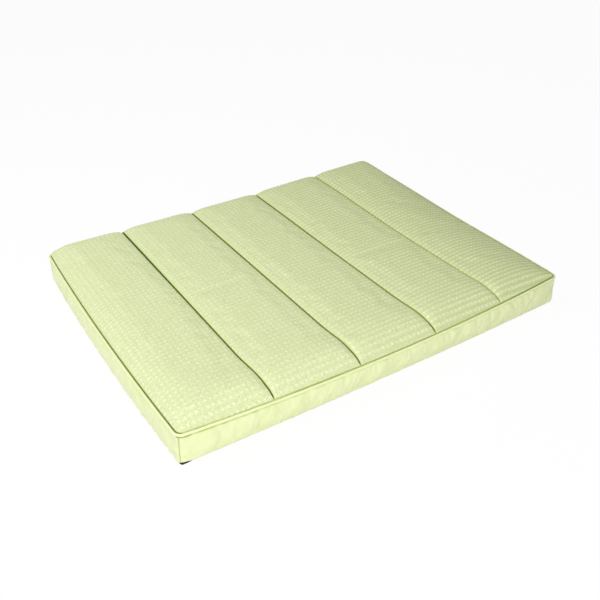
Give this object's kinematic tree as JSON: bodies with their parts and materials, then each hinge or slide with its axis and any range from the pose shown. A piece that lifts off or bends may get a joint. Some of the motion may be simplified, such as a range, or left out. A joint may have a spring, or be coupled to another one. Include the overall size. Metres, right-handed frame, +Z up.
{
  "type": "cooling gel mat",
  "caption": "Boxed cooling mat with a quilted channelled top, corded edge, side bands, non-slip base, back zip, foam core and a gel pouch inside.",
  "frame": {"origin": "centre of the mat's length and depth, measured at its corners, on the underside of the base, at floor level", "axes": "+X along the mat's long side, +Y from the front towards the back side with the zip, +Z up"},
  "size_m": [0.665, 0.5174, 0.0649],
  "materials": {
    "cooling_fabric": "embossed knit",
    "band_fabric": "satin weave",
    "base_fabric": "matte with rubber dots",
    "cotton_cord": "matte",
    "foam": "open-cell foam",
    "pouch_film": "clear film",
    "cooling_gel": "clear gel",
    "fleece": "matte",
    "thread": "twisted polyester",
    "zip_tape": "woven tape",
    "zip_coil": "nylon coil",
    "zip_metal": "satin lacquer"
  },
  "bodies": {
    "cover": {"top_panel": "cooling_fabric", "quilt_backing": "fleece", "wadding_strip_1": "fleece", "wadding_strip_2": "fleece", "wadding_strip_3": "fleece", "wadding_strip_4": "fleece", "wadding_strip_5": "fleece", "quilting_thread_1": "thread", "quilting_thread_2": "thread", "quilting_thread_3": "thread", "quilting_thread_4": "thread", "gel_pouch_lower_film": "pouch_film", "gel_pouch_upper_film": "pouch_film", "gel_chamber_1": "cooling_gel", "gel_chamber_2": "cooling_gel", "gel_chamber_3": "cooling_gel", "gel_chamber_4": "cooling_gel", "gel_chamber_5": "cooling_gel", "foam_core": "foam", "base_panel": "base_fabric", "piping_cover": "band_fabric", "piping_cord": "cotton_cord", "front_band": "band_fabric", "right_band": "band_fabric", "left_band": "band_fabric", "back_band_right_end": "band_fabric", "back_band_left_end": "band_fabric", "back_band_upper": "band_fabric", "back_band_lower": "band_fabric", "zip_tape_upper": "zip_tape", "zip_tape_lower": "zip_tape", "zip_teeth_upper": "zip_coil", "zip_teeth_lower": "zip_coil", "zip_top_stop_upper": "zip_metal", "zip_top_stop_lower": "zip_metal", "zip_bottom_stop": "zip_metal"},
    "slider": {"zip_slider": "zip_metal"},
    "pull": {"zip_pull": "zip_metal"}
  },
  "joints": [
    {"name": "zip_slide", "type": "slide", "parent": "cover", "child": "slider", "axis": [-1, 0, 0], "range_m": [0, 0.468]},
    {"name": "pull_swing", "type": "hinge", "parent": "slider", "child": "pull", "pos_m": [0.2342, 0.25275, 0.023], "axis": [0, 0, -1], "range_deg": [0, 170]}
  ]
}
